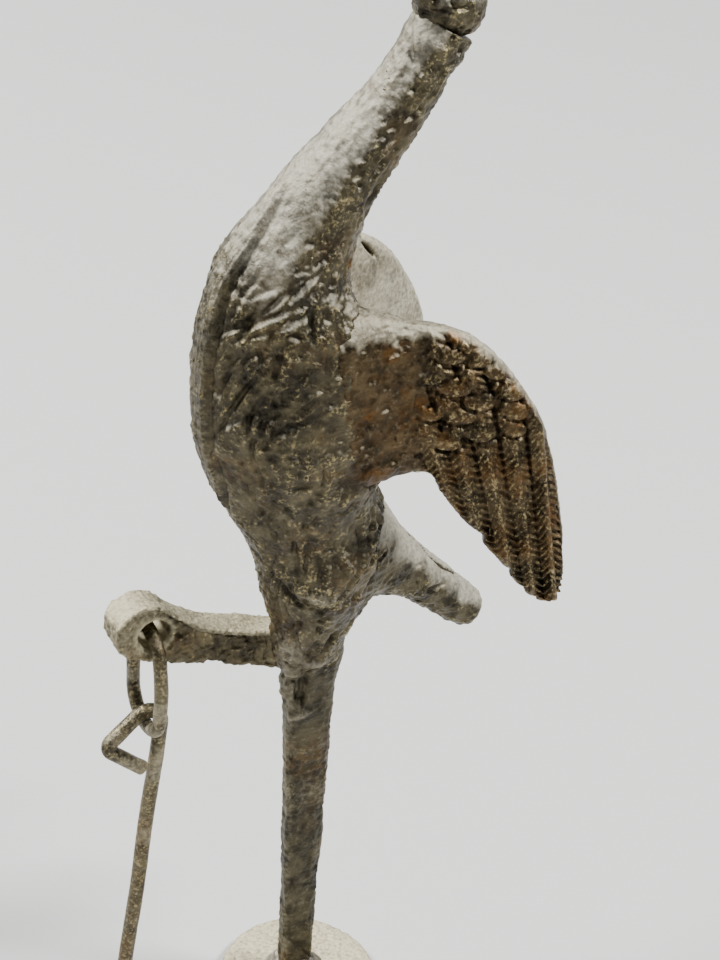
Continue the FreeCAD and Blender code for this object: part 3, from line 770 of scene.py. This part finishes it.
# ---------------------------------------------------------------- round foot and its solder
# The bird stands on a small round bronze disc whose rounded rim has a painted highlight. Grey solder
# is heaped round the leg where it enters, and the leg's end is hammered over underneath.

# Outline of the disc from the middle of the underside to the middle of the top.
FOOT_OUTLINE = [
    (0.4, 0.2),
    (1.7, 0.2),
    (1.9, 0.0),
    (5.0, 0.0),
    (8.3, 0.0),
    (8.78, 0.22),
    (8.86, 0.75),
    (8.74, 1.35),
    (8.45, 1.78),
    (7.9, 2.0),
    (7.0, 2.02),
    (4.0, 2.1),
    (0.4, 2.12),
]
SOLDER_OUTLINE = [(3.1, 1.9), (3.35, 2.25), (3.0, 2.75), (2.55, 3.3), (2.25, 3.85), (1.5, 4.1)]

# Handling has rubbed the foot and the raised leg. Their pale places are dried dirt and painted light on
# the tops and the rim, with rubbing round the drilled hole.
worn_bronze = old_bronze(
    "rubbed yellow-brown bronze",
    dark="#353026",
    warm="#635a44",
    dust_and_light="#c3ba9b",
    rust="#6e5631",
    shine="#dcc98c",
)


def turned(outline, middle, count, sides):
    """Rings round a vertical line through the middle, from an outline of radii and heights."""
    rows = smooth_rows(outline, count)
    around = full_turn(sides)
    circle = np.stack([np.cos(around), np.sin(around), 0 * around], axis=-1)
    lift = rows[:, 1, None, None] * np.array([0, 0, 1])
    return np.array(middle) + rows[:, 0, None, None] * circle + lift


disc = turned(FOOT_OUTLINE, (0, 0, 0), 260, 220)
disc_normal = outward(disc)
upper = ramp(0.05, 0.6, disc[..., 2])
relief = 0.6 * cast_skin(disc, 211) - 0.06
disc_form = 0.10 * cloud(disc, 4.5, 221) - 0.08
disc_shape = disc + disc_normal * ((relief + disc_form) * upper)[..., None]
# Pale on the top is dried dirt and painted light from above; along the rim's upper edge it is a painted
# highlight.
pale = 0.85 * ramp(0.0, 0.7, disc_normal[..., 2] + 0.25 * cloud(disc, 3, 231))
pale = np.clip(pale + 0.5 * hump(disc[..., 2], 1.4, 0.5), 0, 1)
orange = ramp(0.2, 0.9, cloud(disc, 4, 241))
layers = {"dust_and_light": pale, "wear": ramp(-0.1, 0.1, relief), "rust": orange}
foot_plate = skin("foot_plate", disc_shape, worn_bronze, layers)
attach(foot_plate, "bird")
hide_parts("foot_disc")

# Solder is softer and greyer than bronze, and stands out as a pale collar.
solder_metal = old_bronze(
    "dull grey tin-lead solder",
    dark="#4d4a43",
    warm="#77736a",
    dust_and_light="#b5b0a2",
    rust="#77623f",
    shine="#c9c6bc",
)

heap = turned(SOLDER_OUTLINE, (LEG_OFFSET, 0, 0), 60, 140)
relief = 0.30 * cloud(heap, 1.5, 251) + 0.12 * cloud(heap, 0.6, 252)
heap_shape = heap + outward(heap) * (relief * ramp(1.95, 2.3, heap[..., 2]) - 0.05)[..., None]
pale = 0.5 + 0.3 * cloud(heap, 1.2, 261)
layers = {"dust_and_light": pale, "wear": ramp(0.0, 0.3, relief), "rust": 0.2 + 0 * relief}
foot_solder = skin("solder_heap", heap_shape, solder_metal, layers)
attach(foot_solder, "bird")
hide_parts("foot_solder")

# ---------------------------------------------------------------- raised leg
# The raised leg is a flat bar with a hollowed top edge, which ends in a round bulb for the
# drawn-up foot. The bulb is drilled sideways, and the link has polished the edge of the hole.

EYE_REACH, EYE_HEIGHT = -17.5, 54.6
ARM_GRID, ARM_FILLET_REACH = 0.14, 3.0


def dense_copy(name, node, grid):
    """An even fine mesh over a copy of a CAD node, and its points and normals in mm."""
    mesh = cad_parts[node].data.copy()
    shell = bmesh.new()
    shell.from_mesh(mesh)
    bmesh.ops.remove_doubles(shell, verts=shell.verts, dist=0.001 * MM)
    shell.to_mesh(mesh)
    shell.free()
    mesh.materials.clear()
    rough_copy = new_object("rough_copy", mesh)
    remesh = rough_copy.modifiers.new("even", "REMESH")
    remesh.mode = "VOXEL"
    remesh.voxel_size = grid * MM
    ready = rough_copy.evaluated_get(bpy.context.evaluated_depsgraph_get())
    fine = bpy.data.meshes.new_from_object(ready)
    bpy.data.objects.remove(rough_copy)
    fine.name = name
    count = len(fine.vertices)
    points, normals = np.empty(count * 3), np.empty(count * 3)
    fine.vertices.foreach_get("co", points)
    fine.vertices.foreach_get("normal", normals)
    return fine, points.reshape(-1, 3) / MM, normals.reshape(-1, 3)


arm, points, normals = dense_copy("raised_leg_arm", "raised_leg", ARM_GRID)
from_hole = np.hypot(points[:, 0] - EYE_REACH, points[:, 2] - EYE_HEIGHT)
clear_of_hole = ramp(1.9, 2.7, from_hole)
top_face = ramp(0.35, 0.8, normals[:, 2])
relief = cast_skin(points, 271) * (1 - 0.65 * top_face) * (0.12 + 0.88 * clear_of_hole)
form = (0.22 * cloud(points, 3.6, 281) - 0.12) * clear_of_hole
swell = fillet(points, normals, [body_tree], ARM_FILLET_REACH)
shape = points + normals * (relief + form + swell)[:, None]
arm.vertices.foreach_set("co", (shape * MM).ravel())
worn_rim = hump(from_hole, 1.95, 0.35)
# Pale on the top face is dried dirt and painted light from above; round the hole it is rubbing, and it
# grows towards the bulb.
pale = np.clip(ramp(0.25, 0.6, normals[:, 2] + 0.2 * cloud(points, 1.8, 291)) + 0.5 * worn_rim, 0, 1)
layers = {
    "dust_and_light": np.clip(pale + 0.35 * ramp(-15.5, -18, points[:, 0]), 0, 1),
    "wear": np.clip(ramp(0.0, 0.22, relief) + worn_rim, 0, 1),
    "rust": 0.6 * ramp(0.2, 0.8, cloud(points, 3.5, 301)),
}
raised_arm = finish_mesh(arm, worn_bronze, layers)
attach(raised_arm, "bird")
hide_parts("raised_leg")

# ---------------------------------------------------------------- casting grains
# Beads of metal stand on the rough parts of the casting, where the mould had pits.
# They catch the light as small bright specks; they are part of the same metal.

GRAIN_RADIUS = 0.11
GRAINS_PER_AREA = 0.22


def new_tree(title, inputs):
    """A geometry tree with inputs of the given names and kinds, and its start node's outputs."""
    tree = bpy.data.node_groups.new(title, "GeometryNodeTree")
    for name, kind in {"Geometry": "Geometry", **inputs, "Material": "Material"}.items():
        tree.interface.new_socket(name, in_out="INPUT", socket_type=f"NodeSocket{kind}")
    tree.interface.new_socket("Geometry", in_out="OUTPUT", socket_type="NodeSocketGeometry")
    return tree, add(tree, "NodeGroupInput").outputs


def end_tree(tree, geometry, material):
    """Realize the instances, set the material and send the geometry out."""
    real = add(tree, "GeometryNodeRealizeInstances", {}, {"Geometry": geometry})
    links = {"Geometry": real.outputs["Geometry"], "Material": material}
    painted = add(tree, "GeometryNodeSetMaterial", {}, links)
    add(tree, "NodeGroupOutput", {}, {"Geometry": painted.outputs["Geometry"]})


def grain_tree():
    """Scatter low beads over the rough faces of a mesh, by its layer called wear."""
    inputs = {"Grains per square metre": "Float", "Grain radius": "Float", "Seed": "Int"}
    tree, start = new_tree("casting grains", inputs)
    rough_layer = add(tree, "GeometryNodeInputNamedAttribute", {"data_type": "FLOAT", "Name": "wear"})
    links = {0: start["Grains per square metre"], 1: rough_layer.outputs["Attribute"]}
    density = add(tree, "ShaderNodeMath", {"operation": "MULTIPLY"}, links)
    links = {"Mesh": start["Geometry"], "Density": density.outputs[0], "Seed": start["Seed"]}
    spread = add(tree, "GeometryNodeDistributePointsOnFaces", {}, links)
    bead = add(tree, "GeometryNodeMeshIcoSphere", {"Subdivisions": 1}, {"Radius": start["Grain radius"]})
    limits = {"data_type": "FLOAT", 2: 0.45, 3: 1.25}
    size = add(tree, "FunctionNodeRandomValue", limits, {"Seed": start["Seed"]})
    links = {"Points": spread.outputs["Points"], "Instance": bead.outputs["Mesh"]}
    links["Rotation"] = spread.outputs["Rotation"]
    links["Scale"] = size.outputs[1]
    placed = add(tree, "GeometryNodeInstanceOnPoints", {}, links)
    end_tree(tree, placed.outputs["Instances"], start["Material"])
    return tree


def grow(name, host_data, tree, values):
    """Run a geometry tree on the data with its named inputs, and return a plain mesh."""
    host = new_object("host", host_data)
    modifier = host.modifiers.new("grow", "NODES")
    modifier.node_group = tree
    for item in tree.interface.items_tree:
        if item.in_out == "INPUT" and item.name in values:
            modifier[item.identifier] = values[item.name]
    ready = host.evaluated_get(bpy.context.evaluated_depsgraph_get())
    mesh = bpy.data.meshes.new_from_object(ready)
    bpy.data.objects.remove(host)
    mesh.name = name
    return mesh


# The tops of the grains are rubbed, so they are lighter than the metal round them.
grain_metal = old_bronze(
    "bright rubbed casting grains",
    dark="#4d4636",
    warm="#736950",
    dust_and_light="#cfc9b6",
    rust="#765b36",
    shine="#d8cfab",
)
values = {"Grains per square metre": GRAINS_PER_AREA / MM**2, "Grain radius": GRAIN_RADIUS * MM}
values |= {"Seed": 5, "Material": grain_metal}
grains = grow("casting_grains", cast_body.data, grain_tree(), values)
grains.materials.clear()
layers = {"wear": np.ones(len(grains.vertices)), "rust": np.full(len(grains.vertices), 0.1)}
# The layers that came from the body are replaced by the grains' own.
for name in ("wear", "rust", "dust_and_light"):
    if name in grains.attributes:
        grains.attributes.remove(grains.attributes[name])
grain_piece = finish_mesh(grains, grain_metal, layers)
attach(grain_piece, "bird")

# ---------------------------------------------------------------- wire link and pin
# The link is a closed oval of drawn wire through the foot. The pin is a piece of the same
# wire, its top bent round into a pointed eye. Both are rubbed, dented and a little uneven.

LINK_WIRE, LINK_HALF, LINK_RISE, LINK_LENGTH, LINK_BOW = 0.725, 3.3, 0.15, 12.75, 0.3
LINK_OFFSET = 3.2
PIN_WIRE, PIN_BEND, PIN_LENGTH, PIN_TAPER, PIN_POINT = 0.8, 1.65, 38.7, 5.0, 0.45
PIN_LEAN = math.radians(6.6)
WIRE_DENT = 0.06


def wire_tree():
    """Drawn wire along a curve: a round section with shallow dents, closed at open ends."""
    inputs = {"Wire radius": "Float", "Dent depth": "Float", "Dents per metre": "Float", "Steps": "Int"}
    tree, start = new_tree("dented wire", inputs)
    links = {"Curve": start["Geometry"], "Count": start["Steps"]}
    path = add(tree, "GeometryNodeResampleCurve", {}, links)
    links = {"Radius": start["Wire radius"]}
    ring = add(tree, "GeometryNodeCurvePrimitiveCircle", {"Resolution": 32}, links)
    thickness = add(tree, "GeometryNodeInputRadius")
    links = {"Curve": path.outputs["Curve"], "Profile Curve": ring.outputs["Curve"]}
    links["Scale"] = thickness.outputs["Radius"]
    tube = add(tree, "GeometryNodeCurveToMesh", {"Fill Caps": True}, links)
    where = add(tree, "GeometryNodeInputPosition")
    links = {"Vector": where.outputs["Position"], "Scale": start["Dents per metre"]}
    dents = add(tree, "ShaderNodeTexNoise", {"Detail": 2.0}, links)
    low = add(tree, "ShaderNodeMath", {"operation": "SUBTRACT", 1: 0.5}, {0: dents.outputs["Fac"]})
    links = {0: low.outputs[0], 1: start["Dent depth"]}
    deep = add(tree, "ShaderNodeMath", {"operation": "MULTIPLY"}, links)
    way = add(tree, "GeometryNodeInputNormal")
    links = {"Vector": way.outputs["Normal"], "Scale": deep.outputs[0]}
    push = add(tree, "ShaderNodeVectorMath", {"operation": "SCALE"}, links)
    links = {"Geometry": tube.outputs["Mesh"], "Offset": push.outputs["Vector"]}
    moved = add(tree, "GeometryNodeSetPosition", {}, links)
    end_tree(tree, moved.outputs["Geometry"], start["Material"])
    return tree


def wire(name, points, radii, closed, radius, steps):
    """A wire piece along the points in mm; radii are its thickness there, as parts of radius."""
    line = bpy.data.curves.new(name, "CURVE")
    line.dimensions = "3D"
    spline = line.splines.new("POLY")
    spline.points.add(len(points) - 1)
    for target, point, size in zip(spline.points, points, radii):
        target.co = (*(np.array(point) * MM), 1)
        target.radius = size
    spline.use_cyclic_u = closed
    values = {"Wire radius": radius * MM, "Dent depth": WIRE_DENT * 2 * MM, "Dents per metre": 420.0}
    values |= {"Steps": steps, "Material": wire_metal}
    mesh = grow(name, line, dented_wire, values)
    count = len(mesh.vertices)
    place = np.empty(count * 3)
    mesh.vertices.foreach_get("co", place)
    place = place.reshape(-1, 3) / MM
    mesh.materials.clear()
    layers = {
        "dust_and_light": 0.45 * ramp(-0.5, 0.5, cloud(place, 2.2, 311)) * ramp(8, 40, place[:, 2]),
        "wear": np.full(count, 0.7),
        "rust": 0.35 * ramp(0.0, 0.7, cloud(place, 3.0, 321)) + 0.2 * ramp(36, 20, place[:, 2]),
    }
    return finish_mesh(mesh, wire_metal, layers)


# Drawn wire has no casting grit: an even dull brown, lighter where it has been rubbed.
wire_metal = old_bronze(
    "dull drawn bronze wire",
    dark="#39342a",
    warm="#625a45",
    dust_and_light="#ada48b",
    rust="#5c4326",
    shine="#cfc092",
)
dented_wire = wire_tree()

half_turn = np.linspace(0, math.pi, 40)
top, bottom = -LINK_RISE - LINK_HALF, LINK_HALF - LINK_RISE - LINK_LENGTH
straight = np.linspace(0, 1, 24)[1:-1]
side_height = top + (bottom - top) * straight
bow = LINK_BOW * np.sin(straight * math.pi)
over = np.stack([-LINK_HALF * np.cos(half_turn), top + LINK_HALF * np.sin(half_turn)], axis=1)
down = np.stack([LINK_HALF + 0 * straight, side_height], axis=1)
under = np.stack([LINK_HALF * np.cos(half_turn), bottom - LINK_HALF * np.sin(half_turn)], axis=1)
back_up = np.stack([-LINK_HALF - bow, side_height[::-1]], axis=1)
oval = np.vstack([over, down, under, back_up])
link_points = [(EYE_REACH, LINK_OFFSET + side, EYE_HEIGHT + rise) for side, rise in oval]
link = wire("wire_link", link_points, np.ones(len(oval)), True, LINK_WIRE, 420)
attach(link, "link")
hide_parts("hanging_link")


def polar(distance, angle):
    """A step of the given length, at an angle in degrees from +X towards +Z."""
    return np.array([distance * math.cos(math.radians(angle)), distance * math.sin(math.radians(angle))])


def arc(middle, radius, start, end, count):
    """Points along an arc about the middle, between two angles in degrees."""
    return [middle + polar(radius, angle) for angle in np.linspace(start, end, count)]


TURN, CORNER, LAST_HEADING, SLANT, RETURN = 135.0, 0.95, 323.0, 3.6, 4.7
shank = [np.array([PIN_BEND, -rise]) for rise in np.linspace(PIN_LENGTH, 0, 90)]
crown_bend = arc(np.zeros(2), PIN_BEND, 0, TURN, 30)
corner_start = crown_bend[-1] + polar(SLANT, TURN + 90)
corner_middle = corner_start + polar(CORNER, TURN + 180)
corner = arc(corner_middle, CORNER, TURN, LAST_HEADING - 90, 16)
finish = [corner[-1] + polar(step, LAST_HEADING) for step in np.linspace(0.3, RETURN, 12)]
pin_path = [*shank, *crown_bend[1:], *corner, *finish]
pin_height = EYE_HEIGHT - LINK_RISE - LINK_LENGTH
pin_points, pin_radii = [], []
for reach, rise in pin_path:
    sideways = 0.12 * math.sin(rise * 0.35)
    x = EYE_REACH + reach * math.cos(PIN_LEAN) + rise * math.sin(PIN_LEAN)
    z = pin_height - reach * math.sin(PIN_LEAN) + rise * math.cos(PIN_LEAN)
    pin_points.append((x, LINK_OFFSET + sideways, z))
    low = min(max((rise + PIN_LENGTH) / PIN_TAPER, 0), 1)
    pin_radii.append((PIN_POINT + (PIN_WIRE - PIN_POINT) * low) / PIN_WIRE)
pin = wire("wire_pin", pin_points, pin_radii, False, PIN_WIRE, 620)
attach(pin, "pin")
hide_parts("hanging_pin")

# ---------------------------------------------------------------- floor, light and camera
# A plain pale floor, one large soft light high on the far side, a small weaker one on the near
# side, and a camera about 27 cm away that looks down at the bird's left side.

FLOOR_SIZE = 6.0
CAMERA_AZIMUTH, CAMERA_ELEVATION, CAMERA_ROLL = -30.0, 35.0, 3.7
CAMERA_PLACE = (-0.10676, -0.19197, 0.22352)
CAMERA_ANGLE = 20.0

paper = bpy.data.materials.new("matt grey paper")
paper.use_nodes = True
paper.node_tree.nodes["Principled BSDF"].inputs["Base Color"].default_value = colour("#bdbdbb")
paper.node_tree.nodes["Principled BSDF"].inputs["Roughness"].default_value = 0.9
floor_mesh = bpy.data.meshes.new("floor")
half = FLOOR_SIZE / 2
corners = [(-half, -half, 0), (half, -half, 0), (half, half, 0), (-half, half, 0)]
floor_mesh.from_pydata(corners, [], [(0, 1, 2, 3)])
floor_mesh.materials.append(paper)
floor = new_object("floor", floor_mesh)
floor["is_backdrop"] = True


def soft_light(name, place, size, power):
    """A square area light that faces the middle of the bird."""
    lamp = bpy.data.lights.new(name, "AREA")
    lamp.size = size
    lamp.energy = power
    light = new_object(name, lamp)
    light.location = place
    light.rotation_euler = (Vector((0, 0, 0.07)) - Vector(place)).to_track_quat("-Z", "Y").to_euler()
    light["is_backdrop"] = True


soft_light("window", (-0.34, 0.32, 0.60), 0.30, 14.0)
soft_light("lamp", (0.30, -0.20, 0.50), 0.10, 6.0)

world = bpy.data.worlds.new("room light")
world.use_nodes = True
world.node_tree.nodes["Background"].inputs["Color"].default_value = colour("#d5d7da")
world.node_tree.nodes["Background"].inputs["Strength"].default_value = 0.22
bpy.context.scene.world = world

azimuth, elevation = math.radians(CAMERA_AZIMUTH), math.radians(CAMERA_ELEVATION)
level_back = Vector((math.sin(azimuth), -math.cos(azimuth), 0))
back = level_back * math.cos(elevation) + Vector((0, 0, math.sin(elevation)))
lens = bpy.data.cameras.new("camera")
lens.angle = math.radians(CAMERA_ANGLE)
lens.clip_start = 0.01
camera = new_object("camera", lens)
camera.rotation_mode = "QUATERNION"
camera.location = CAMERA_PLACE
level_view = (-back).to_track_quat("-Z", "Y")
camera.rotation_quaternion = level_view @ Quaternion((0, 0, 1), math.radians(CAMERA_ROLL))
bpy.context.scene.camera = camera

low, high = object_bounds()
